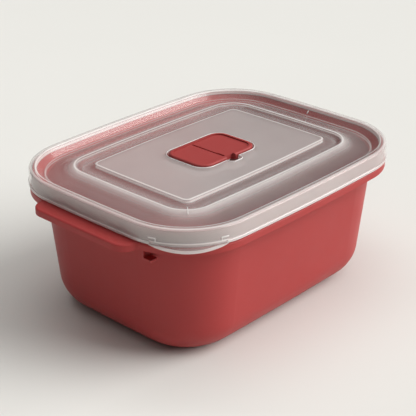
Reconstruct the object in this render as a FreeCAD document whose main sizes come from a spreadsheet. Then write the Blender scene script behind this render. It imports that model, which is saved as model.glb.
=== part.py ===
"""A rectangular food box: red moulded tub, frosted press-on lid, hinged vent flap and its seal.

Millimetres. +Z is up, the box rests on z = 0, X runs along its length, and the origin is the middle of
its base. A point of the lid's section is given by its inset, the distance in from the lid's outline, and
its height above the table.
"""
import FreeCAD
import Part
import Sketcher
import math
import os
from FreeCAD import Vector

DIMENSIONS = {
    # outline of the lid: a rectangle with bowed sides and round corners
    "lid_half_length": 100.0,
    "lid_half_width": 77.3,
    "lid_corner_radius": 43.2,
    "lid_long_side_radius": 1531.0,
    "lid_short_side_radius": 1394.0,
    # outline of the tub's wall, measured at the height where the wall ends
    "tub_half_length": 93.66,
    "tub_half_width": 70.36,
    "tub_corner_radius": 42.26,
    "tub_long_side_radius": 2896.0,
    "tub_short_side_radius": 1222.0,
    # walls of the tub
    "wall_height": 82.6,
    "wall": 1.8,
    "wall_draft": 5.74,
    "foot_radius": 21.0,
    "floor_thickness": 2.2,
    "foot_inset": 36.0,
    "foot_recess": 0.6,
    # rim that stands up inside the lid, on a shoulder at 45 degrees
    "rim_inset": 2.4,
    "rim_wall": 1.4,
    "rim_height": 86.3,
    "shoulder_height": 85.0,
    "shoulder_drop": 6.0,
    "funnel_depth": 6.4,
    "shoulder_slope": 45.0,
    "rim_round": 0.5,
    # flange round the tub, hollow underneath
    "flange_inset": 0.7,
    "flange_low": 73.0,
    "flange_high": 77.0,
    "flange_lip": 1.8,
    "flange_hollow": 2.2,
    "flange_round": 1.0,
    # handles, one on each short side
    "handle_reach": 108.5,
    "handle_root": 88.0,
    "handle_half_width": 38.0,
    "handle_corner": 9.0,
    "handle_blend": 3.0,
    "rib_pitch": 18.0,
    "rib_thickness": 1.4,
    # bracket on the wall under each end of a handle
    "bracket_near": 37.9,
    "bracket_far": 44.2,
    "bracket_low": 65.8,
    "bracket_plate": 1.2,
    "bracket_root": 90.5,
    "bracket_reach": 95.6,
    # section of the lid
    "skirt_low": 78.1,
    "skirt_inset": 0.5,
    "bead_height": 1.3,
    "lid_wall": 1.4,
    "lid_top": 88.0,
    "lid_edge_round": 1.8,
    "rim_top_inset": 4.6,
    "rim_inner_round": 0.9,
    "plug_slope_inset": 8.8,
    "plug_round": 1.0,
    "plug_inset": 10.4,
    "plug_height": 83.4,
    "rise_inset": 18.0,
    "rise_height": 84.6,
    "ridge_shoulder_inset": 24.0,
    "ridge_shoulder_height": 86.4,
    "ridge_inset": 26.2,
    "ridge_round": 3.0,
    "ridge_end_round": 0.8,
    "groove_round": 1.2,
    "panel_round": 0.8,
    "ridge_end_inset": 28.0,
    "ridge_height": 87.0,
    "groove_start_inset": 30.6,
    "groove_end_inset": 36.0,
    "groove_height": 85.5,
    "panel_inset": 39.0,
    "panel_overlap": 41.0,
    "panel_height": 87.3,
    # pull tab that hangs from the skirt at one corner
    "tab_flare": 1.0,
    "tab_wall": 1.4,
    "tab_low": 75.3,
    "tab_high": 80.8,
    "tab_edge_radius": 69.0,
    "tab_angle": 56.0,
    "tab_flare_drop": 3.4,
    "tab_bead_width": 1.7,
    "tab_bead_proud": 0.5,
    # pocket in the lid that the vent flap lies in
    "pocket_half_length": 24.8,
    "pocket_front": 16.4,
    "pocket_back": 18.2,
    "pocket_corner": 8.9,
    "pocket_floor": 83.8,
    "pocket_wall": 1.6,
    "pocket_base": 1.2,
    "scoop_half_width": 4.8,
    "scoop_front": 20.8,
    "scoop_corner": 2.6,
    "scoop_depth": 3.1,
    "seat_radius": 3.5,
    # vent flap
    "flap_half_length": 23.7,
    "flap_front": 15.2,
    "flap_back": 16.6,
    "flap_corner": 7.8,
    "flap_low": 85.0,
    "flap_high": 88.4,
    "flap_round": 1.0,
    "flap_rim": 2.2,
    "flap_recess": 0.8,
    "slot_middle": 2.2,
    "slot_width": 1.2,
    "slot_depth": 1.0,
    "slot_flare": 0.5,
    "slot_flare_length": 5.6,
    "slot_front": 11.4,
    "slot_back": 14.0,
    "notch_half_width": 4.4,
    "notch_length": 2.4,
    "hollow_half_length": 22.0,
    "hollow_front": 11.2,
    "hollow_back": 13.2,
    "hollow_corner": 5.0,
    "hollow_depth": 1.0,
    # hinge pins of the flap and their sockets in the pocket's wall
    "hinge_back": 15.2,
    "hinge_height": 85.8,
    "pin_radius": 0.9,
    "socket_radius": 0.95,
    "pin_start": 17.5,
    "pin_end": 23.3,
    "socket_start": 20.6,
    "socket_end": 23.8,
    # plug under the flap, and its seal
    "stem_front": 7.0,
    "stem_radius": 2.5,
    "stem_low": 82.2,
    "stem_head_radius": 2.9,
    "stem_head_height": 1.0,
    "collar_radius": 4.5,
    "seal_radius": 5.5,
    "seal_low": 83.9,
    "seal_high": 85.0,
}

NODES = ("tub", "lid", "vent_flap", "vent_seal")

doc = FreeCAD.newDocument("FoodBox")
sheet = doc.addObject("Spreadsheet::Sheet", "Sizes")
for row, (alias, number) in enumerate(DIMENSIONS.items(), start=1):
    sheet.set("A%d" % row, alias)
    sheet.set("B%d" % row, str(number))
    sheet.setAlias("B%d" % row, alias)
doc.recompute()


class Size:
    """A number together with the spreadsheet expression that gives it."""

    def __init__(self, value, text):
        self.value = value
        self.text = text

    def __add__(self, other):
        return join(self, "+", other, self.value + value_of(other))

    def __sub__(self, other):
        return join(self, "-", other, self.value - value_of(other))

    def __mul__(self, other):
        return join(self, "*", other, self.value * value_of(other))

    def __neg__(self):
        return Size(-self.value, "(-1 * %s)" % self.text)


def value_of(item):
    return item.value if isinstance(item, Size) else float(item)


def text_of(item):
    return item.text if isinstance(item, Size) else repr(float(item))


def join(left, sign, right, value):
    return Size(value, "(%s %s %s)" % (left.text, sign, text_of(right)))


class Book:
    """Reads the sheet by alias: size.wall is the cell named wall."""

    def __getattr__(self, alias):
        return Size(float(sheet.get(alias)), "Sizes." + alias)


size = Book()
ZERO = Size(0.0, "0")


# ---------------------------------------------------------------- sketches

def origin_plane(body, role):
    return [item for item in body.Origin.OriginFeatures if item.Role == role][0]


def new_sketch(body, name, role, offset=ZERO):
    """A sketch on one of the body's own origin planes, moved along that plane's normal."""
    sketch = body.newObject("Sketcher::SketchObject", name)
    sketch.AttachmentSupport = [(origin_plane(body, role), "")]
    sketch.MapMode = "FlatFace"
    sketch.setExpression("AttachmentOffset.Base.z", offset.text)
    return sketch


def bind(sketch, kind, geometry, point, length):
    """Hold one coordinate or radius of the sketch at a size from the sheet."""
    if kind == "Radius":
        index = sketch.addConstraint(Sketcher.Constraint(kind, geometry, length.value))
    elif abs(length.value) < 1e-9:
        axis = -2 if kind == "DistanceX" else -1
        sketch.addConstraint(Sketcher.Constraint("PointOnObject", geometry, point, axis))
        return
    else:
        index = sketch.addConstraint(Sketcher.Constraint(kind, geometry, point, length.value))
    sketch.setExpression("Constraints[%d]" % index, length.text)


def polygon(sketch, corners):
    """A closed outline of straight lines; each corner is a pair of sizes."""
    points = [Vector(across.value, up.value, 0) for across, up in corners]
    count = len(points)
    first = sketch.GeometryCount
    for k in range(count):
        sketch.addGeometry(Part.LineSegment(points[k], points[(k + 1) % count]), False)
    for k in range(count):
        following = first + (k + 1) % count
        sketch.addConstraint(Sketcher.Constraint("Coincident", first + k, 2, following, 1))
    for k, (across, up) in enumerate(corners):
        bind(sketch, "DistanceX", first + k, 1, across)
        bind(sketch, "DistanceY", first + k, 1, up)


def circle(sketch, across, up, radius):
    centre = Vector(across.value, up.value, 0)
    index = sketch.addGeometry(Part.Circle(centre, Vector(0, 0, 1), radius.value), False)
    bind(sketch, "DistanceX", index, 3, across)
    bind(sketch, "DistanceY", index, 3, up)
    bind(sketch, "Radius", index, 0, radius)


def arc(across, up, radius, start, end):
    return Part.ArcOfCircle(Part.Circle(Vector(across, up, 0), Vector(0, 0, 1), radius), start, end)


def rounded_rectangle(sketch, left, right, low, high, radius):
    """Four sides and four equal corner arcs, counter-clockwise from the lower side."""
    x0, x1, y0, y1, r = left.value, right.value, low.value, high.value, radius.value
    ends = [
        ((x0 + r, y0), (x1 - r, y0)),
        ((x1, y0 + r), (x1, y1 - r)),
        ((x1 - r, y1), (x0 + r, y1)),
        ((x0, y1 - r), (x0, y0 + r)),
    ]
    centres = [(x1 - r, y0 + r), (x1 - r, y1 - r), (x0 + r, y1 - r), (x0 + r, y0 + r)]
    quarter = math.pi / 2
    first = sketch.GeometryCount
    for k in range(4):
        start, end = ends[k]
        sketch.addGeometry(Part.LineSegment(Vector(*start, 0), Vector(*end, 0)), False)
        sketch.addGeometry(arc(*centres[k], r, (k - 1) * quarter, k * quarter), False)
    for k in range(8):
        following = first + (k + 1) % 8
        sketch.addConstraint(Sketcher.Constraint("Tangent", first + k, 2, following, 1))
    for k in range(4):
        direction = "Horizontal" if k % 2 == 0 else "Vertical"
        sketch.addConstraint(Sketcher.Constraint(direction, first + 2 * k))
    for k in range(1, 4):
        sketch.addConstraint(Sketcher.Constraint("Equal", first + 1, first + 2 * k + 1))
    bind(sketch, "Radius", first + 1, 0, radius)
    bind(sketch, "DistanceY", first, 1, low)
    bind(sketch, "DistanceX", first + 2, 1, right)
    bind(sketch, "DistanceY", first + 4, 1, high)
    bind(sketch, "DistanceX", first + 6, 1, left)


class Outline:
    """A rectangle whose sides bow outwards on large arcs and whose corners are tangent arcs."""

    def __init__(self, half_length, half_width, corner, long_side, short_side):
        self.half_length = half_length
        self.half_width = half_width
        self.corner = corner
        self.long_side = long_side
        self.short_side = short_side

    def corner_centre(self):
        """Centre of the corner arc at +X +Y: it touches both side arcs from inside."""
        side = Vector(self.half_length.value - self.short_side.value, 0, 0)
        end = Vector(0, self.half_width.value - self.long_side.value, 0)
        from_side = self.short_side.value - self.corner.value
        from_end = self.long_side.value - self.corner.value
        line = side - end
        along = (from_end ** 2 - from_side ** 2 + line.Length ** 2) / (2 * line.Length)
        off = math.sqrt(from_end ** 2 - along ** 2)
        line.normalize()
        return end + line * along + Vector(line.y, -line.x, 0) * off

    def draw(self, sketch, inset=ZERO):
        """Nine arcs, counter-clockwise, starting in the middle of the +X side."""
        centre = self.corner_centre()
        side_x = self.half_length.value - self.short_side.value
        end_y = self.half_width.value - self.long_side.value
        short = self.short_side.value - inset.value
        long = self.long_side.value - inset.value
        corner = self.corner.value - inset.value
        low = math.atan2(centre.y, centre.x - side_x)
        high = math.atan2(centre.y - end_y, centre.x)
        turn = math.pi
        for piece in (
            arc(side_x, 0, short, 0, low),
            arc(centre.x, centre.y, corner, low, high),
            arc(0, end_y, long, high, turn - high),
            arc(-centre.x, centre.y, corner, turn - high, turn - low),
            arc(-side_x, 0, short, turn - low, turn + low),
            arc(-centre.x, -centre.y, corner, turn + low, turn + high),
            arc(0, -end_y, long, turn + high, 2 * turn - high),
            arc(centre.x, -centre.y, corner, 2 * turn - high, 2 * turn - low),
            arc(side_x, 0, short, 2 * turn - low, 2 * turn),
        ):
            sketch.addGeometry(piece, False)
        rules = [Sketcher.Constraint("Tangent", k, 2, k + 1, 1) for k in range(8)]
        rules.append(Sketcher.Constraint("Coincident", 8, 2, 0, 1))
        rules.append(Sketcher.Constraint("Coincident", 8, 3, 0, 3))
        rules.append(Sketcher.Constraint("PointOnObject", 0, 1, -1))
        rules.append(Sketcher.Constraint("PointOnObject", 0, 3, -1))
        rules.append(Sketcher.Constraint("PointOnObject", 2, 3, -2))
        rules.append(Sketcher.Constraint("Symmetric", 0, 3, 4, 3, -2))
        rules.append(Sketcher.Constraint("Symmetric", 2, 3, 6, 3, -1))
        rules.append(Sketcher.Constraint("Equal", 0, 4))
        rules.append(Sketcher.Constraint("Equal", 2, 6))
        rules.extend(Sketcher.Constraint("Equal", 1, k) for k in (3, 5, 7))
        sketch.addConstraint(rules)
        bind(sketch, "DistanceX", 0, 3, self.half_length - self.short_side)
        bind(sketch, "DistanceY", 2, 3, self.half_width - self.long_side)
        bind(sketch, "Radius", 0, 0, self.short_side - inset)
        bind(sketch, "Radius", 2, 0, self.long_side - inset)
        bind(sketch, "Radius", 1, 0, self.corner - inset)


# ---------------------------------------------------------------- features

def finish(body, feature, grows):
    """Recompute, and stop if the feature failed or added or removed nothing."""
    before = body.BaseVolume if hasattr(body, "BaseVolume") else 0.0
    doc.recompute()
    volume = feature.Shape.Volume
    if "Invalid" in feature.State or "Error" in feature.State:
        raise RuntimeError("%s failed" % feature.Name)
    if grows is not None and (volume > before) != grows:
        raise RuntimeError("%s changed the volume the wrong way" % feature.Name)
    if not hasattr(body, "BaseVolume"):
        body.addProperty("App::PropertyFloat", "BaseVolume")
    body.BaseVolume = volume
    return feature


def new_body(name):
    return doc.addObject("PartDesign::Body", name)


def extrude(kind, body, sketch, length, down, slope):
    feature = body.newObject("PartDesign::" + kind, sketch.Name + kind)
    feature.Profile = (sketch, [""])
    feature.setExpression("Length", length.text)
    feature.Reversed = down
    if slope is not None:
        feature.setExpression("TaperAngle", slope.text)
    return finish(body, feature, kind == "Pad")


def pad(body, sketch, length, down=False, slope=None):
    return extrude("Pad", body, sketch, length, down, slope)


def pocket(body, sketch, length, up=False, slope=None):
    return extrude("Pocket", body, sketch, length, up, slope)


def fillet(body, name, radius, wanted):
    """Round every edge of the body so far that the test picks out."""
    base = body.Tip
    edges = ["Edge%d" % k for k, edge in enumerate(base.Shape.Edges, start=1) if wanted(edge)]
    if not edges:
        raise RuntimeError("%s found no edge" % name)
    feature = body.newObject("PartDesign::Fillet", name)
    feature.Base = (base, edges)
    feature.setExpression("Radius", radius.text)
    return finish(body, feature, None)


def mirror(body, name, originals, role, grows=True):
    feature = body.newObject("PartDesign::Mirrored", name)
    feature.Originals = originals
    feature.MirrorPlane = (origin_plane(body, role), [""])
    body.Tip = feature
    return finish(body, feature, grows)


def level(edge, height):
    """True when the whole edge lies at this height."""
    box = edge.BoundBox
    return abs(box.ZMin - height.value) < 1e-3 and abs(box.ZMax - height.value) < 1e-3


def upright(edge, nearest, farthest, along):
    """True when the edge is vertical, between two distances along X and at one along Y."""
    box = edge.BoundBox
    straight = box.XLength < 1e-3 and box.YLength < 1e-3
    placed = nearest.value - 1e-3 < abs(box.XMin) < farthest.value + 1e-3
    return straight and placed and abs(abs(box.YMin) - along.value) < 1e-2


LID = Outline(
    size.lid_half_length,
    size.lid_half_width,
    size.lid_corner_radius,
    size.lid_long_side_radius,
    size.lid_short_side_radius,
)
TUB = Outline(
    size.tub_half_length,
    size.tub_half_width,
    size.tub_corner_radius,
    size.tub_long_side_radius,
    size.tub_short_side_radius,
)


# ---------------------------------------------------------------- tub

def add_flange(body):
    """The flange and both handles are one plate, hollowed from below so that a lip hangs down."""
    sketch = new_sketch(body, "Flange", "XY_Plane", size.flange_low)
    LID.draw(sketch, size.flange_inset)
    pad(body, sketch, size.flange_high - size.flange_low)

    plate = new_sketch(body, "Handle", "XY_Plane", size.flange_low)
    reach, root, half = size.handle_reach, size.handle_root, size.handle_half_width
    polygon(plate, [(root, -half), (reach, -half), (reach, half), (root, half)])
    first = pad(body, plate, size.flange_high - size.flange_low)
    mirror(body, "OtherHandle", [first], "YZ_Plane")

    def outer_corner(edge):
        return upright(edge, reach, reach, half)

    def inner_corner(edge):
        return upright(edge, root, reach - size.handle_corner, half)

    fillet(body, "HandleCorners", size.handle_corner, outer_corner)
    fillet(body, "HandleBlends", size.handle_blend, inner_corner)
    fillet(body, "FlangeTopEdge", size.flange_round, lambda edge: level(edge, size.flange_high))

    hollow = new_sketch(body, "FlangeHollow", "XY_Plane", size.flange_low)
    LID.draw(hollow, size.flange_inset + size.flange_lip)
    pocket(body, hollow, size.flange_hollow, up=True)
    grip = new_sketch(body, "HandleHollow", "XY_Plane", size.flange_low)
    inner = size.handle_half_width - size.flange_lip
    corner = size.handle_corner - size.flange_lip
    rounded_rectangle(grip, root, reach - size.flange_lip, -inner, inner, corner)
    first = pocket(body, grip, size.flange_hollow, up=True)
    mirror(body, "OtherHandleHollow", [first], "YZ_Plane", grows=False)

    ribs = new_sketch(body, "HandleRibs", "XY_Plane", size.flange_low)
    half_rib = size.rib_thickness * 0.5
    for step in (-1, 0, 1):
        middle = size.rib_pitch * step
        polygon(ribs, [
            (root, middle - half_rib),
            (reach - half_rib, middle - half_rib),
            (reach - half_rib, middle + half_rib),
            (root, middle + half_rib),
        ])
    first = pad(body, ribs, size.flange_hollow + half_rib)
    mirror(body, "OtherHandleRibs", [first], "YZ_Plane")


def add_brackets(body):
    """An L-shaped bracket joins the wall to the flange under each end of each handle."""
    near, far, low = size.bracket_near, size.bracket_far, size.bracket_low
    plate = size.bracket_plate
    top = size.flange_low + plate
    for name, side in (("Front", -1), ("Back", 1)):
        sketch = new_sketch(body, "Bracket" + name, "YZ_Plane", size.bracket_root)
        corners = [
            (near, top),
            (near, low),
            (far, low),
            (far, low + plate),
            (near + plate, low + plate),
            (near + plate, top),
        ]
        polygon(sketch, [(along * side, up) for along, up in corners])
        first = pad(body, sketch, size.bracket_reach - size.bracket_root)
        mirror(body, "OtherBracket" + name, [first], "YZ_Plane")


def food_space():
    """The hollow of the tub, made as a solid that is then cut from it."""
    body = new_body("FoodSpace")
    sketch = new_sketch(body, "FoodOutline", "XY_Plane", size.wall_height)
    TUB.draw(sketch, size.wall)
    pad(body, sketch, size.wall_height - size.floor_thickness, down=True, slope=-size.wall_draft)
    radius = size.foot_radius - size.wall
    fillet(body, "FoodFoot", radius, lambda edge: level(edge, size.floor_thickness))
    return body


def make_tub():
    body = new_body("Tub")
    add_flange(body)
    add_brackets(body)

    wall = new_sketch(body, "Wall", "XY_Plane", size.wall_height)
    TUB.draw(wall)
    pad(body, wall, size.wall_height, down=True, slope=-size.wall_draft)
    fillet(body, "Foot", size.foot_radius, lambda edge: level(edge, ZERO))

    shoulder = new_sketch(body, "Shoulder", "XY_Plane", size.shoulder_height)
    LID.draw(shoulder, size.rim_inset)
    pad(body, shoulder, size.shoulder_drop, down=True, slope=-size.shoulder_slope)
    rim = new_sketch(body, "Rim", "XY_Plane", size.shoulder_height)
    LID.draw(rim, size.rim_inset)
    pad(body, rim, size.rim_height - size.shoulder_height)

    cut = body.newObject("PartDesign::Boolean", "Hollow")
    cut.Type = "Cut"
    cut.setObjects([food_space()])
    finish(body, cut, False)
    funnel = new_sketch(body, "Funnel", "XY_Plane", size.rim_height)
    LID.draw(funnel, size.rim_inset + size.rim_wall)
    pocket(body, funnel, size.funnel_depth, slope=-size.shoulder_slope)
    fillet(body, "RimEdge", size.rim_round, lambda edge: level(edge, size.rim_height))

    recess = new_sketch(body, "FootRecess", "XY_Plane")
    TUB.draw(recess, size.foot_inset)
    pocket(body, recess, size.foot_recess, up=True)
    return body


# ---------------------------------------------------------------- lid

def lid_section():
    """Corners of the lid's section as (inset, height): over the top, then back underneath."""
    wall = size.lid_wall
    skirt = size.skirt_inset
    over = [
        (ZERO, size.skirt_low),
        (ZERO, size.skirt_low + size.bead_height),
        (skirt, size.skirt_low + size.bead_height + skirt),
        (skirt, size.lid_top),
        (size.rim_top_inset, size.lid_top),
        (size.plug_slope_inset, size.plug_height),
        (size.plug_inset, size.plug_height),
        (size.rise_inset, size.rise_height),
        (size.ridge_shoulder_inset, size.ridge_shoulder_height),
        (size.ridge_inset, size.ridge_height),
        (size.ridge_end_inset, size.ridge_height),
        (size.groove_start_inset, size.groove_height),
        (size.groove_end_inset, size.groove_height),
        (size.panel_inset, size.panel_height),
        (size.panel_overlap, size.panel_height),
    ]
    under = [
        (size.panel_overlap, size.panel_height - wall),
        (size.panel_inset + wall * 0.5, size.panel_height - wall),
        (size.groove_end_inset + wall * 0.4, size.groove_height - wall),
        (size.groove_start_inset - wall * 0.4, size.groove_height - wall),
        (size.ridge_end_inset - wall * 0.4, size.ridge_height - wall),
        (size.ridge_inset + wall * 0.2, size.ridge_height - wall),
        (size.ridge_shoulder_inset + wall * 0.2, size.ridge_shoulder_height - wall),
        (size.rise_inset + wall * 0.1, size.rise_height - wall),
        (size.plug_inset + wall * 0.1, size.plug_height - wall),
        (size.plug_slope_inset - wall * 0.15, size.plug_height - wall),
        (size.rim_top_inset - wall * 0.4, size.lid_top - wall),
        (skirt + wall, size.lid_top - wall),
        (skirt + wall, size.skirt_low),
    ]
    return over + under


def at_section(edge, inset, height):
    """True when the edge runs round the lid at this inset and height."""
    if not level(edge, height):
        return False
    ends = edge.Vertexes
    middle = edge.valueAt((edge.FirstParameter + edge.LastParameter) / 2)
    near = [middle] + [vertex.Point for vertex in ends]
    return all(abs(inset_at(point) - inset.value) < 0.02 for point in near)


def inset_at(point):
    """How far inside the lid's outline a point lies."""
    centre = LID.corner_centre()
    x, y = abs(point.x), abs(point.y)
    side_x = LID.half_length.value - LID.short_side.value
    end_y = LID.half_width.value - LID.long_side.value
    if math.atan2(y, x - side_x) <= math.atan2(centre.y, centre.x - side_x) + 1e-9:
        return LID.short_side.value - math.hypot(x - side_x, y)
    if math.atan2(y - end_y, x) >= math.atan2(centre.y - end_y, centre.x) - 1e-9:
        return LID.long_side.value - math.hypot(x, y - end_y)
    return LID.corner.value - math.hypot(x - centre.x, y - centre.y)


def add_lid_ring(body):
    """Sweep the section round the outline, as far in as the edge of the centre panel."""
    path = new_sketch(body, "LidPath", "XY_Plane")
    LID.draw(path)
    section = new_sketch(body, "LidSection", "XZ_Plane")
    polygon(section, [(size.lid_half_length - inset, height) for inset, height in lid_section()])
    ring = body.newObject("PartDesign::AdditivePipe", "LidRing")
    ring.Profile = (section, [""])
    ring.Spine = (path, [""])
    finish(body, ring, True)
    for name, radius, inset, height in (
        ("OuterEdge", size.lid_edge_round, size.skirt_inset, size.lid_top),
        ("InnerEdge", size.rim_inner_round, size.rim_top_inset, size.lid_top),
        ("PlugBottom", size.plug_round, size.plug_slope_inset, size.plug_height),
        ("Ridge", size.ridge_round, size.ridge_inset, size.ridge_height),
        ("RidgeEnd", size.ridge_end_round, size.ridge_end_inset, size.ridge_height),
        ("GrooveStart", size.groove_round, size.groove_start_inset, size.groove_height),
        ("GrooveEnd", size.groove_round, size.groove_end_inset, size.groove_height),
        ("PanelEdge", size.panel_round, size.panel_inset, size.panel_height),
    ):
        fillet(body, name, radius, lambda edge: at_section(edge, inset, height))


def pocket_outline(sketch, margin):
    """The vent pocket's outline, grown by a margin."""
    half = size.pocket_half_length + margin
    front = -size.pocket_front - margin
    rounded_rectangle(sketch, -half, half, front, size.pocket_back + margin, size.pocket_corner + margin)


def scoop_outline(sketch, margin):
    """The finger scoop in front of the flap, grown by a margin."""
    half = size.scoop_half_width + margin
    front = -size.scoop_front - margin
    back = -size.flap_front
    rounded_rectangle(sketch, -half, half, front, back + size.scoop_corner, size.scoop_corner)


def add_vent_pocket(body):
    floor_low = size.pocket_floor - size.pocket_base
    overlap = size.lid_wall * 0.5
    tray_height = size.panel_height - overlap - floor_low
    tray = new_sketch(body, "VentTray", "XY_Plane", floor_low)
    pocket_outline(tray, size.pocket_wall)
    pad(body, tray, tray_height)
    scoop_low = size.panel_height - size.scoop_depth - size.pocket_base
    scoop_tray = new_sketch(body, "ScoopTray", "XY_Plane", scoop_low)
    scoop_outline(scoop_tray, size.pocket_wall)
    pad(body, scoop_tray, size.panel_height - overlap - scoop_low)

    opening = new_sketch(body, "VentPocket", "XY_Plane", size.panel_height)
    pocket_outline(opening, ZERO)
    pocket(body, opening, size.panel_height - size.pocket_floor)
    scoop = new_sketch(body, "Scoop", "XY_Plane", size.panel_height)
    scoop_outline(scoop, ZERO)
    pocket(body, scoop, size.scoop_depth)
    seat = new_sketch(body, "PlugSeat", "XY_Plane", size.pocket_floor)
    circle(seat, ZERO, -size.stem_front, size.seat_radius)
    pocket(body, seat, size.pocket_base * 2)

    socket = new_sketch(body, "HingeSocket", "YZ_Plane", size.socket_start)
    circle(socket, size.hinge_back, size.hinge_height, size.socket_radius)
    first = pocket(body, socket, size.socket_end - size.socket_start, up=True)
    mirror(body, "OtherHingeSocket", [first], "YZ_Plane", grows=False)


def tab_band(name, proud):
    """A band turned about the corner's centre: the flared section that the pull tab is cut from."""
    corner = size.lid_corner_radius
    skirt = corner - size.skirt_inset
    buried = skirt - size.lid_wall * 0.5
    outer = corner + size.tab_flare
    inner = outer - size.tab_wall
    body = new_body(name + "Band")
    section = new_sketch(body, name + "Section", "XZ_Plane")
    polygon(section, [
        (buried, size.tab_high),
        (skirt + proud, size.tab_high),
        (outer - size.tab_flare * 0.5 + proud, size.tab_high - size.tab_flare_drop * 0.5),
        (outer + proud, size.tab_high - size.tab_flare_drop),
        (outer + proud, size.tab_low),
        (inner, size.tab_low),
        (inner, size.skirt_low - size.tab_wall * 0.5),
        (buried, size.skirt_low),
    ])
    band = body.newObject("PartDesign::Revolution", name + "Turn")
    band.Profile = (section, [""])
    band.ReferenceAxis = (section, ["V_Axis"])
    band.Midplane = True
    band.setExpression("Angle", size.tab_angle.text)
    finish(body, band, True)
    flare_low = size.tab_high - size.tab_flare_drop
    fillet(body, name + "UpperEdge", size.tab_flare, lambda edge: level(edge, flare_low))
    return body


def tab_roll(name, radius):
    """A long cylinder lying across the corner, whose underside gives the tab's lower edge."""
    roll = doc.addObject("Part::Cylinder", name)
    roll.setExpression("Radius", radius.text)
    roll.setExpression("Height", (size.lid_corner_radius * 2).text)
    roll.Placement = FreeCAD.Placement(
        Vector(0, 0, (size.tab_low + size.tab_edge_radius).value),
        FreeCAD.Rotation(Vector(0, 0, 1), Vector(1, 0, 0)),
    )
    return roll


def tab_piece(name, band, trim):
    """What the band and the trim share, moved from the origin to the lid's front left corner."""
    piece = doc.addObject("Part::Common", name)
    piece.Base = band
    piece.Tool = trim
    centre = LID.corner_centre()
    piece.Placement = FreeCAD.Placement(
        Vector(-centre.x, -centre.y, 0),
        FreeCAD.Rotation(Vector(0, 0, 1), math.degrees(math.pi * 1.25)),
    )
    return piece


def make_pull_tab():
    """A flared tab under one corner of the skirt, with a raised bead along its curved edge."""
    tab = tab_piece("TabShape", tab_band("Tab", ZERO), tab_roll("TabEdge", size.tab_edge_radius))
    ring = doc.addObject("Part::Cut", "TabBeadRing")
    ring.Base = tab_roll("TabBeadOutside", size.tab_edge_radius)
    ring.Tool = tab_roll("TabBeadInside", size.tab_edge_radius - size.tab_bead_width)
    bead = tab_piece("TabBeadShape", tab_band("TabBead", size.tab_bead_proud), ring)
    doc.recompute()
    return [tab, bead]


def make_lid():
    body = new_body("LidMoulding")
    add_lid_ring(body)
    panel = new_sketch(body, "CentrePanel", "XY_Plane", size.panel_height - size.lid_wall)
    LID.draw(panel, size.panel_inset + size.lid_wall * 0.6)
    pad(body, panel, size.lid_wall)
    add_vent_pocket(body)
    lid = doc.addObject("Part::MultiFuse", "Lid")
    lid.Shapes = [body] + make_pull_tab()
    doc.recompute()
    return lid


# ---------------------------------------------------------------- vent

def make_flap():
    """The flap: raised border, sunken panel with a slot, finger notch, hinge pins and plug stem."""
    body = new_body("VentFlap")
    half, front, back = size.flap_half_length, -size.flap_front, size.flap_back
    plate = new_sketch(body, "FlapPlate", "XY_Plane", size.flap_low)
    rounded_rectangle(plate, -half, half, front, back, size.flap_corner)
    pad(body, plate, size.flap_high - size.flap_low)
    fillet(body, "FlapEdge", size.flap_round, lambda edge: level(edge, size.flap_high))

    panel = new_sketch(body, "FlapPanel", "XY_Plane", size.flap_high)
    rim = size.flap_rim
    rounded_rectangle(panel, rim - half, half - rim, front + rim, back - rim, size.flap_corner - rim)
    pocket(body, panel, size.flap_recess)

    slot = new_sketch(body, "FlapSlot", "XY_Plane", size.flap_high - size.flap_recess)
    left = -size.slot_middle - size.slot_width * 0.5
    right = -size.slot_middle + size.slot_width * 0.5
    polygon(slot, [
        (left, -size.slot_front),
        (right + size.slot_flare, -size.slot_front),
        (right + size.slot_flare, size.slot_flare_length - size.slot_front),
        (right, size.slot_flare_length + size.slot_flare - size.slot_front),
        (right, size.slot_back),
        (left, size.slot_back),
    ])
    pocket(body, slot, size.slot_depth)

    notch = new_sketch(body, "FingerNotch", "XY_Plane", size.flap_high)
    polygon(notch, [
        (-size.notch_half_width, front - size.notch_length),
        (size.notch_half_width, front - size.notch_length),
        (size.notch_half_width - size.notch_length * 0.5, front + size.notch_length),
        (size.notch_length * 0.5 - size.notch_half_width, front + size.notch_length),
    ])
    pocket(body, notch, size.flap_high - size.flap_low)

    hollow = new_sketch(body, "FlapHollow", "XY_Plane", size.flap_low)
    wide = size.hollow_half_length
    rounded_rectangle(hollow, -wide, wide, -size.hollow_front, size.hollow_back, size.hollow_corner)
    pocket(body, hollow, size.hollow_depth, up=True)
    add_plug(body)

    pin = new_sketch(body, "HingePin", "YZ_Plane", size.pin_start)
    circle(pin, size.hinge_back, size.hinge_height, size.pin_radius)
    first = pad(body, pin, size.pin_end - size.pin_start)
    mirror(body, "OtherHingePin", [first], "YZ_Plane")
    return body


def add_plug(body):
    """A collar, then a stem through the seal, then a head that holds the seal on."""
    roof = size.flap_low + size.hollow_depth
    overlap = size.flap_recess
    front = -size.stem_front
    for name, radius, low, high in (
        ("PlugCollar", size.collar_radius, size.seal_high, roof + overlap),
        ("PlugStem", size.stem_radius, size.stem_low, roof),
        ("PlugHead", size.stem_head_radius, size.stem_low, size.stem_low + size.stem_head_height),
    ):
        sketch = new_sketch(body, name, "XY_Plane", low)
        circle(sketch, ZERO, front, radius)
        pad(body, sketch, high - low)


def make_seal():
    body = new_body("VentSeal")
    sketch = new_sketch(body, "SealRing", "XY_Plane", size.seal_low)
    circle(sketch, ZERO, -size.stem_front, size.seal_radius)
    circle(sketch, ZERO, -size.stem_front, size.stem_radius)
    pad(body, sketch, size.seal_high - size.seal_low)
    return body


# ---------------------------------------------------------------- write the parts

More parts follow.
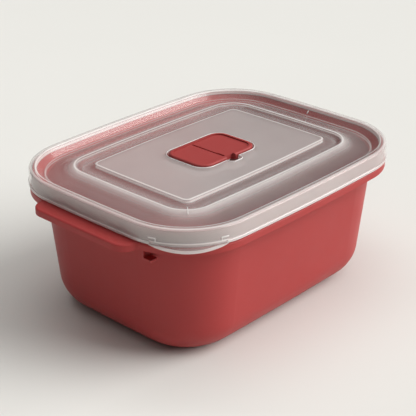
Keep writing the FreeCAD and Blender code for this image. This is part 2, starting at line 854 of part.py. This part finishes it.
def main():
    makers = (make_tub, make_lid, make_flap, make_seal)
    os.makedirs("parts", exist_ok=True)
    pieces = []
    for node, make in zip(NODES, makers):
        piece = make()
        piece.Label = node
        piece.Placement = FreeCAD.Placement()
        pieces.append(piece)
    doc.recompute()
    for item in doc.Objects:
        if "Invalid" in item.State or "Error" in item.State:
            raise RuntimeError("%s is in error" % item.Name)
    for piece in pieces:
        shape = piece.Shape
        if shape.isNull() or not shape.isValid() or len(shape.Solids) != 1:
            raise RuntimeError("%s is not one valid solid" % piece.Label)
        print("%-10s %8.2f cm3  %s" % (piece.Label, shape.Volume / 1000, shape.BoundBox))
    for piece in pieces:
        piece.Shape.exportStep(os.path.join("parts", piece.Label + ".step"))


main()
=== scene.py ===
import math

import bpy
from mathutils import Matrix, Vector


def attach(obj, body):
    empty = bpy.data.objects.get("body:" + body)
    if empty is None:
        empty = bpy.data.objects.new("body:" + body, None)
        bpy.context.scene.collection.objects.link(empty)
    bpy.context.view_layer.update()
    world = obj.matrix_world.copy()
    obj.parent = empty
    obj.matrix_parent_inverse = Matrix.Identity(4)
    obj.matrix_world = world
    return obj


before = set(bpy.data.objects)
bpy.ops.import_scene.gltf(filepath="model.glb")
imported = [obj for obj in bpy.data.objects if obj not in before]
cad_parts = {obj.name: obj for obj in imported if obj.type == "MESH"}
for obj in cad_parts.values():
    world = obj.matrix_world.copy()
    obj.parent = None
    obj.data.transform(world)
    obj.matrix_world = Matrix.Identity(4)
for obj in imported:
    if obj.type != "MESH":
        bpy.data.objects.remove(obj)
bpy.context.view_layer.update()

MM = 0.001

# the lid's outline, in millimetres: the centre of a corner arc, its radius, and how far the sides bow
# between the corner arcs
CORNER_X = 56.396
CORNER_Y = 33.031
CORNER_RADIUS = 43.2
LONG_SIDE_BOW = 1.04
SHORT_SIDE_BOW = 0.39

# the haze bands start this far outside the outline, in millimetres, to take in the pull tab
HAZE_MARGIN = 1.6

# share of milky plastic by distance in from the lid's outline, in millimetres; the narrow milky bands
# at the bead, the rim's edges, the foot of the plug wall, the ridge's edge and the panel's edge are
# painted highlights
LID_MILK_AND_HIGHLIGHTS = (
    # pull tab: its bead, a painted highlight, and its face
    (-1.3, 0.80), (-1.05, 0.20), (-0.3, 0.20),
    # bead of the skirt: painted highlight
    (-0.12, 0.70), (0.15, 0.70),
    # skirt
    (0.4, 0.22), (1.0, 0.24),
    # outer edge of the rim: painted highlight
    (1.4, 0.60), (2.2, 0.60),
    # top of the rim
    (2.7, 0.20), (3.8, 0.20),
    # inner edge of the rim: painted highlight
    (4.2, 0.75), (4.9, 0.75),
    # wall of the plug
    (5.3, 0.09), (9.0, 0.08),
    # foot of that wall: painted highlight
    (9.5, 0.36), (10.1, 0.36),
    # moat, milkier as it rises to the ridge
    (10.7, 0.11), (20.0, 0.15), (24.6, 0.36), (25.9, 0.52),
    # edge of the ridge: painted highlight
    (26.4, 0.88), (27.0, 0.88),
    # ridge, as far as the groove
    (27.5, 0.32), (28.6, 0.13), (30.4, 0.14),
    # groove
    (31.0, 0.28), (36.4, 0.14), (38.4, 0.20),
    # edge of the centre panel: painted highlight
    (38.9, 0.88), (39.5, 0.88),
    # centre panel
    (40.1, 0.36),
)
# the small marks are milky all over, near white: painted highlights on real moulded ribs
MARK_HIGHLIGHT_HAZE = ((0.0, 0.9),)
# how far the haze drifts either way
HAZE_DRIFT = 0.02

# noise scales, in waves per metre
COLOUR_WAVES = 14.0
GLOSS_WAVES = 55.0
MILK_WAVES = 18.0
SKIN_WAVES = 60.0
HAZE_WAVES = 20.0
LID_GRAIN_WAVES = 1500.0
FLOOR_WAVES = 3.0

# most of a noise texture's values lie between these
NOISE_LOW = 0.3
NOISE_HIGH = 0.7

# the red plastics and the seal: their shine, how strong the grain is, and how far light spreads inside
PLASTIC_SPECULAR = 0.24
GRAIN_STRENGTH = 0.35
BLEED_COLOUR = (1.0, 0.25, 0.2)
BLEED_REACH = 2.0 * MM

# the lid's plastic: its grain, its roughness inside and at the skin, how much of its milk lets light
# through, the tints of that light and of the clear part, and the share of gloss face on and at a glance
LID_GRAIN_STRENGTH = 0.25
LID_GRAIN_DEPTH = 0.02 * MM
MILK_ROUGH = (0.30, 0.40)
SKIN_ROUGH = (0.16, 0.21)
GLOW_SHARE = 0.22
GLOW_COLOUR = (0.86, 0.83, 0.82, 1)
CLEAR_COLOUR = (0.97, 0.955, 0.95, 1)
GLOSS_FACE_ON = 0.028
GLOSS_GLANCING = 0.9
GLANCE_POWER = 5.0

# ---------------------------------------------------------------- materials


def new_material(name):
    """A material that is one Principled shader, with its node tree and that shader."""
    material = bpy.data.materials.new(name)
    material.use_nodes = True
    tree = material.node_tree
    tree.nodes.clear()
    output = tree.nodes.new("ShaderNodeOutputMaterial")
    shader = tree.nodes.new("ShaderNodeBsdfPrincipled")
    tree.links.new(shader.outputs["BSDF"], output.inputs["Surface"])
    return material, tree, shader


def noise(tree, scale, detail=3.0):
    """Noise in object space, its scale in waves per metre."""
    place = tree.nodes.new("ShaderNodeTexCoord")
    texture = tree.nodes.new("ShaderNodeTexNoise")
    texture.inputs["Scale"].default_value = scale
    texture.inputs["Detail"].default_value = detail
    tree.links.new(place.outputs["Object"], texture.inputs["Vector"])
    return texture.outputs["Fac"]


def ramp(tree, value, start, end, low, high):
    """A value's own range mapped to another, and held at its ends."""
    node = tree.nodes.new("ShaderNodeMapRange")
    node.inputs["From Min"].default_value = start
    node.inputs["From Max"].default_value = end
    node.inputs["To Min"].default_value = low
    node.inputs["To Max"].default_value = high
    tree.links.new(value, node.inputs["Value"])
    return node.outputs["Result"]


def between(tree, factor, low, high):
    """Spread the middle of a noise's range over a range of numbers."""
    return ramp(tree, factor, NOISE_LOW, NOISE_HIGH, low, high)


def blend_colours(tree, factor, first, second):
    """One colour where the factor is 0 and the other where it is 1."""
    node = tree.nodes.new("ShaderNodeMix")
    node.data_type = "RGBA"
    node.inputs["A"].default_value = (*first, 1)
    node.inputs["B"].default_value = (*second, 1)
    tree.links.new(factor, node.inputs["Factor"])
    return node.outputs["Result"]


def bump(tree, shader, height, strength, distance):
    """Raise and lower a shader's surface by a height, its full depth in metres."""
    node = tree.nodes.new("ShaderNodeBump")
    node.inputs["Strength"].default_value = strength
    node.inputs["Distance"].default_value = distance
    tree.links.new(height, node.inputs["Height"])
    tree.links.new(node.outputs["Normal"], shader.inputs["Normal"])


def moulded_plastic(name, deep, pale, rough, grain, grain_depth, bleed):
    """Satin moulded plastic: slow colour drift, uneven gloss and a fine grain.

    The grain is in waves per metre, and bleed is the share of light that scatters inside.
    """
    material, tree, shader = new_material(name)
    drift = noise(tree, COLOUR_WAVES, detail=2.0)
    tree.links.new(blend_colours(tree, drift, deep, pale), shader.inputs["Base Color"])
    smear = noise(tree, GLOSS_WAVES, detail=4.0)
    smoothest = rough - 0.04
    roughest = rough + 0.05
    tree.links.new(between(tree, smear, smoothest, roughest), shader.inputs["Roughness"])
    bump(tree, shader, noise(tree, grain, detail=2.0), GRAIN_STRENGTH, grain_depth)
    shader.inputs["Specular IOR Level"].default_value = PLASTIC_SPECULAR
    shader.inputs["Subsurface Weight"].default_value = bleed
    shader.inputs["Subsurface Radius"].default_value = BLEED_COLOUR
    shader.inputs["Subsurface Scale"].default_value = BLEED_REACH
    return material


def math_node(tree, operation, first, second):
    """A Math node; either input is a socket or a number."""
    node = tree.nodes.new("ShaderNodeMath")
    node.operation = operation
    for index, value in enumerate((first, second)):
        if isinstance(value, (int, float)):
            node.inputs[index].default_value = value
        else:
            tree.links.new(value, node.inputs[index])
    return node.outputs["Value"]


def mix_shaders(tree, factor, first, second):
    """The first shader where the factor, a socket or a number, is 0, and the second where it is 1."""
    node = tree.nodes.new("ShaderNodeMixShader")
    if isinstance(factor, (int, float)):
        node.inputs["Fac"].default_value = factor
    else:
        tree.links.new(factor, node.inputs["Fac"])
    tree.links.new(first, node.inputs[1])
    tree.links.new(second, node.inputs[2])
    return node.outputs["Shader"]


def lid_inset(tree):
    """How far inside the lid's outline a point lies, in millimetres.

    The outline has four corner arcs, and sides that bow a little between them.
    """
    place = tree.nodes.new("ShaderNodeTexCoord")
    point = tree.nodes.new("ShaderNodeSeparateXYZ")
    tree.links.new(place.outputs["Object"], point.inputs["Vector"])
    beyond = []
    for axis, other, centre, other_centre, bow in (
        ("X", "Y", CORNER_X, CORNER_Y, SHORT_SIDE_BOW),
        ("Y", "X", CORNER_Y, CORNER_X, LONG_SIDE_BOW),
    ):
        along = math_node(tree, "MULTIPLY", point.outputs[other], 1 / (other_centre * MM))
        along = math_node(tree, "ABSOLUTE", along, 0.0)
        arch = ramp(tree, math_node(tree, "POWER", along, 2.0), 0, 1, bow, 0)
        reach = math_node(tree, "ABSOLUTE", point.outputs[axis], 0.0)
        reach = math_node(tree, "MULTIPLY", reach, 1 / MM)
        out = math_node(tree, "SUBTRACT", math_node(tree, "SUBTRACT", reach, centre), arch)
        out = math_node(tree, "MAXIMUM", out, 0.0)
        beyond.append(math_node(tree, "POWER", out, 2.0))
    distance = math_node(tree, "SQRT", math_node(tree, "ADD", beyond[0], beyond[1]), 0.0)
    return math_node(tree, "SUBTRACT", CORNER_RADIUS, distance)


def milk_and_highlight_bands(tree, profile):
    """How milky the lid is, by the distance in from its edge, with a slow drift over it; its narrow
    milky bands are painted highlights.
    """
    bands = tree.nodes.new("ShaderNodeValToRGB")
    stops = bands.color_ramp.elements
    stops.remove(stops[1])
    for index, (inset, haze) in enumerate(profile):
        position = (inset + HAZE_MARGIN) / (CORNER_RADIUS + HAZE_MARGIN)
        stop = stops[0] if index == 0 else stops.new(position)
        stop.position = position
        stop.color = (haze, haze, haze, 1)
    place = ramp(tree, lid_inset(tree), -HAZE_MARGIN, CORNER_RADIUS, 0.0, 1.0)
    tree.links.new(place, bands.inputs["Fac"])
    drift = between(tree, noise(tree, HAZE_WAVES, detail=2.0), -HAZE_DRIFT, HAZE_DRIFT)
    return math_node(tree, "ADD", bands.outputs["Color"], drift)


def frosted_plastic(name, profile, milk_dark, milk_light):
    """Frosted translucent polypropylene: partly clear, partly milky, under a smooth skin; the milky
    share follows the given profile, which also paints highlight lines.
    """
    material, tree, milk = new_material(name)
    output = next(node for node in tree.nodes if node.type == "OUTPUT_MATERIAL")
    cloud = noise(tree, MILK_WAVES, detail=2.0)
    tree.links.new(blend_colours(tree, cloud, milk_dark, milk_light), milk.inputs["Base Color"])
    smear = noise(tree, SKIN_WAVES, detail=4.0)
    tree.links.new(between(tree, smear, *MILK_ROUGH), milk.inputs["Roughness"])
    grain = noise(tree, LID_GRAIN_WAVES, detail=2.0)
    bump(tree, milk, grain, LID_GRAIN_STRENGTH, LID_GRAIN_DEPTH)
    glow = tree.nodes.new("ShaderNodeBsdfTranslucent")
    glow.inputs["Color"].default_value = GLOW_COLOUR
    clear = tree.nodes.new("ShaderNodeBsdfTransparent")
    clear.inputs["Color"].default_value = CLEAR_COLOUR
    skin = tree.nodes.new("ShaderNodeBsdfAnisotropic")
    skin.inputs["Color"].default_value = (1.0, 1.0, 1.0, 1)
    tree.links.new(between(tree, smear, *SKIN_ROUGH), skin.inputs["Roughness"])

    wall = mix_shaders(tree, GLOW_SHARE, milk.outputs["BSDF"], glow.outputs["BSDF"])
    # milkiness by inset, with painted highlight bands along the edges
    haze = milk_and_highlight_bands(tree, profile)
    body = mix_shaders(tree, haze, clear.outputs["BSDF"], wall)
    tilt = tree.nodes.new("ShaderNodeLayerWeight")
    tilt.inputs["Blend"].default_value = 0.5
    glance = math_node(tree, "POWER", tilt.outputs["Facing"], GLANCE_POWER)
    gloss = ramp(tree, glance, 0.0, 1.0, GLOSS_FACE_ON, GLOSS_GLANCING)
    side = tree.nodes.new("ShaderNodeNewGeometry")
    outer = math_node(tree, "SUBTRACT", 1.0, side.outputs["Backfacing"])
    gloss = math_node(tree, "MULTIPLY", gloss, outer)
    surface = mix_shaders(tree, gloss, body, skin.outputs["BSDF"])
    tree.links.new(surface, output.inputs["Surface"])
    return material


RED = moulded_plastic(
    "tub_red",
    deep=(0.375, 0.044, 0.043),
    pale=(0.425, 0.050, 0.049),
    rough=0.44,
    grain=2600.0,
    grain_depth=0.004 * MM,
    bleed=0.10,
)
VENT_RED = moulded_plastic(
    "vent_red",
    deep=(0.32, 0.046, 0.044),
    pale=(0.37, 0.054, 0.052),
    rough=0.46,
    grain=2400.0,
    grain_depth=0.03 * MM,
    bleed=0.10,
)
SEAL = moulded_plastic(
    "seal_silicone",
    deep=(0.74, 0.72, 0.70),
    pale=(0.80, 0.78, 0.76),
    rough=0.62,
    grain=2600.0,
    grain_depth=0.02 * MM,
    bleed=0.3,
)
FROSTED = frosted_plastic(
    "lid_frosted",
    LID_MILK_AND_HIGHLIGHTS,
    milk_dark=(0.90, 0.87, 0.86),
    milk_light=(0.95, 0.925, 0.915),
)
MARK_HIGHLIGHT_WHITE = frosted_plastic(
    "lid_marks_highlight",
    MARK_HIGHLIGHT_HAZE,
    milk_dark=(0.88, 0.87, 0.86),
    milk_light=(0.92, 0.91, 0.90),
)


def cover(node, material):
    """Give a CAD node's whole surface one material."""
    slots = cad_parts[node].material_slots
    for slot in slots:
        slot.material = material


for node_name, node_material in (
    ("tub", RED),
    ("lid", FROSTED),
    ("vent_flap", VENT_RED),
    ("vent_seal", SEAL),
):
    cover(node_name, node_material)

# ---------------------------------------------------------------- small moulded marks on the lid, near white as painted highlights

# how many sides a rib has, and how far its rounded ends reach and shrink, as shares of its radius
RIB_SIDES = 8
RIB_END_REACH = 0.7
RIB_END_RADIUS = 0.45

CORNER = Vector((-CORNER_X, -CORNER_Y, 0.0))
DIAGONAL = math.radians(-135.0)


def near_corner(radius, turn, height):
    """A point round the lid's front left corner; turn is the angle from the lid's diagonal."""
    angle = DIAGONAL + math.radians(turn)
    return CORNER + Vector((radius * math.cos(angle), radius * math.sin(angle), height))


def raised_line(name, points, radius):
    """A thin moulded rib with rounded ends that follows the points, in millimetres."""
    rings = []
    last = len(points) - 1
    for index, point in enumerate(points):
        ahead = points[min(index + 1, last)] - points[max(index - 1, 0)]
        turn = ahead.to_track_quat("Z", "Y")
        rings.append((point, turn, radius))
    first_step = (points[0] - points[1]).normalized() * radius * RIB_END_REACH
    last_step = (points[last] - points[last - 1]).normalized() * radius * RIB_END_REACH
    rings.insert(0, (points[0] + first_step, rings[0][1], radius * RIB_END_RADIUS))
    rings.append((points[last] + last_step, rings[-1][1], radius * RIB_END_RADIUS))
    vertices = []
    faces = []
    for point, turn, size in rings:
        for side in range(RIB_SIDES):
            angle = 2 * math.pi * side / RIB_SIDES
            spoke = turn @ Vector((math.cos(angle), math.sin(angle), 0)) * size
            vertices.append((point + spoke) * MM)
    for ring in range(len(rings) - 1):
        low = ring * RIB_SIDES
        for side in range(RIB_SIDES):
            after = (side + 1) % RIB_SIDES
            faces.append((low + side, low + after, low + RIB_SIDES + after, low + RIB_SIDES + side))
    faces.append(tuple(reversed(range(RIB_SIDES))))
    faces.append(tuple(range(len(vertices) - RIB_SIDES, len(vertices))))
    mesh = bpy.data.meshes.new(name)
    mesh.from_pydata(vertices, [], faces)
    mesh.shade_smooth()
    # the rib's near-white milk is a painted highlight along it
    mesh.materials.append(MARK_HIGHLIGHT_WHITE)
    rib = bpy.data.objects.new(name, mesh)
    bpy.context.scene.collection.objects.link(rib)
    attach(rib, "lid")


def arc_points(centre, radius, start, end, height, steps=10):
    """Points of a level arc, from one angle to another in degrees."""
    points = []
    for step in range(steps + 1):
        angle = math.radians(start + (end - start) * step / steps)
        spoke = Vector((radius * math.cos(angle), radius * math.sin(angle), 0))
        points.append(Vector((*centre, height)) + spoke)
    return points


def pocket_lip():
    """The route of a fine lip round the mouth of the vent pocket and its finger scoop.

    The mouth runs from front to back and half its length each way from the middle, with round corners.
    The scoop reaches forward from it, half its width each way, with corners of their own.
    """
    height = 87.32
    half_length = 24.95
    front = -16.55
    back = 18.35
    corner = 9.05
    half_scoop = 4.95
    scoop_front = -20.95
    scoop_corner = 2.75
    points = []
    for centre, start in (
        ((half_length - corner, front + corner), -90),
        ((half_length - corner, back - corner), 0),
        ((corner - half_length, back - corner), 90),
        ((corner - half_length, front + corner), 180),
    ):
        points += arc_points(centre, corner, start, start + 90, height)
    points.append(Vector((-half_scoop, front, height)))
    scoop_centre = half_scoop - scoop_corner
    for centre, start in (
        ((-scoop_centre, scoop_front + scoop_corner), 180),
        ((scoop_centre, scoop_front + scoop_corner), 270),
    ):
        points += arc_points(centre, scoop_corner, start, start + 90, height, steps=6)
    points.append(Vector((half_scoop, front, height)))
    points.append(points[0])
    return points


def make_catch_mark(name, side):
    """A thin L on the skirt, beside one end of the pull tab; side is -1 or 1."""
    long_arm = [near_corner(42.75, side * turn, 81.85) for turn in (29.0, 27.0, 25.0, 23.7)]
    short_arm = [near_corner(42.85, side * 23.5, height) for height in (81.4, 80.8, 80.3)]
    raised_line(name, long_arm + short_arm, radius=0.38)


def make_gate_mark():
    """A tick across the ridge, given by radii and heights at the corner."""
    crossing = ((12.6, 86.62), (13.6, 87.0), (15.2, 87.08), (17.0, 87.08), (18.6, 86.72), (20.2, 86.3))
    tick = [near_corner(radius, 0.6, height) for radius, height in crossing]
    raised_line("gate_mark", tick, radius=0.26)


def make_vent_mark():
    """A short pip on the plug wall, in the middle of the lid's +X side."""
    pip = [Vector((x, 1.4, z)) for x, z in ((91.9, 84.2), (92.5, 84.85), (93.2, 85.6))]
    raised_line("vent_mark", pip, radius=0.34)


raised_line("pocket_lip", pocket_lip(), radius=0.30)
make_catch_mark("catch_mark_left", -1)
make_catch_mark("catch_mark_right", 1)
make_gate_mark()
make_vent_mark()

# ---------------------------------------------------------------- stage, lights and camera


def make_floor():
    """A wide pale table top, level with the foot of the box."""
    half = 6.0
    mesh = bpy.data.meshes.new("floor")
    corners = [(-half, -half, 0), (half, -half, 0), (half, half, 0), (-half, half, 0)]
    mesh.from_pydata(corners, [], [(0, 1, 2, 3)])
    floor = bpy.data.objects.new("floor", mesh)
    bpy.context.scene.collection.objects.link(floor)
    material, tree, shader = new_material("floor_pale")
    tone = blend_colours(tree, noise(tree, FLOOR_WAVES), (0.715, 0.715, 0.69), (0.745, 0.745, 0.72))
    tree.links.new(tone, shader.inputs["Base Color"])
    shader.inputs["Roughness"].default_value = 0.9
    shader.inputs["Specular IOR Level"].default_value = 0.15
    mesh.materials.append(material)


def add_light(data, direction):
    """Put a light in the scene, shining along a direction."""
    light = bpy.data.objects.new(data.name, data)
    light.rotation_mode = "QUATERNION"
    light.rotation_quaternion = direction.to_track_quat("-Z", "Y")
    bpy.context.scene.collection.objects.link(light)
    return light


def make_key_window():
    """The main light: broad, soft and low, from the camera's right."""
    sun = bpy.data.lights.new("key_window", "SUN")
    sun.energy = 3.4
    sun.angle = math.radians(50.0)
    sun.color = (1.0, 0.985, 0.965)
    add_light(sun, Vector((-0.58, 0.62, -0.53)))


def make_top_strip():
    """A long narrow light, high behind the box, for the streaks along the lid."""
    strip = bpy.data.lights.new("top_strip", "AREA")
    strip.shape = "RECTANGLE"
    strip.size = 2.0
    strip.size_y = 0.20
    strip.energy = 4.0
    strip.color = (1.0, 0.99, 0.98)
    place = Vector((0.40, 0.37, 1.60))
    middle_of_box = Vector((0.0, 0.0, 0.05))
    add_light(strip, middle_of_box - place).location = place


def make_world():
    """Soft room light: dim round the horizon, with a bright patch straight overhead."""
    world = bpy.data.worlds.new("studio")
    bpy.context.scene.world = world
    world.use_nodes = True
    tree = world.node_tree
    place = tree.nodes.new("ShaderNodeTexCoord")
    split = tree.nodes.new("ShaderNodeSeparateXYZ")
    sky = tree.nodes.new("ShaderNodeValToRGB")
    # brightness by height, which is 0 at the horizon and 1 straight up
    levels = ((0.0, 0.02), (0.5, 0.13), (0.85, 0.38), (0.92, 1.35))
    stops = sky.color_ramp.elements
    stops.remove(stops[1])
    for index, (height, level) in enumerate(levels):
        stop = stops[0] if index == 0 else stops.new(height)
        stop.position = height
        stop.color = (level, level * 0.985, level * 0.96, 1)
    tree.links.new(place.outputs["Generated"], split.inputs["Vector"])
    tree.links.new(split.outputs["Z"], sky.inputs["Fac"])
    tree.links.new(sky.outputs["Color"], tree.nodes["Background"].inputs["Color"])


def make_camera():
    """Seen from the left front corner, from about 26 degrees above the table."""
    azimuth = math.radians(-47.32)
    elevation = math.radians(25.57)
    distance = 0.7357
    target = Vector((15.36, 17.38, 38.57)) * MM
    level = math.cos(elevation)
    back = Vector((math.sin(azimuth) * level, -math.cos(azimuth) * level, math.sin(elevation)))
    data = bpy.data.cameras.new("camera")
    data.sensor_width = 36.0
    data.lens = 101.93
    camera = bpy.data.objects.new("camera", data)
    camera.location = target + back * distance
    camera.rotation_mode = "QUATERNION"
    camera.rotation_quaternion = (-back).to_track_quat("-Z", "Y")
    bpy.context.scene.collection.objects.link(camera)
    bpy.context.scene.camera = camera


make_floor()
make_key_window()
make_top_strip()
make_world()
make_camera()
bpy.context.scene.view_settings.view_transform = "Standard"
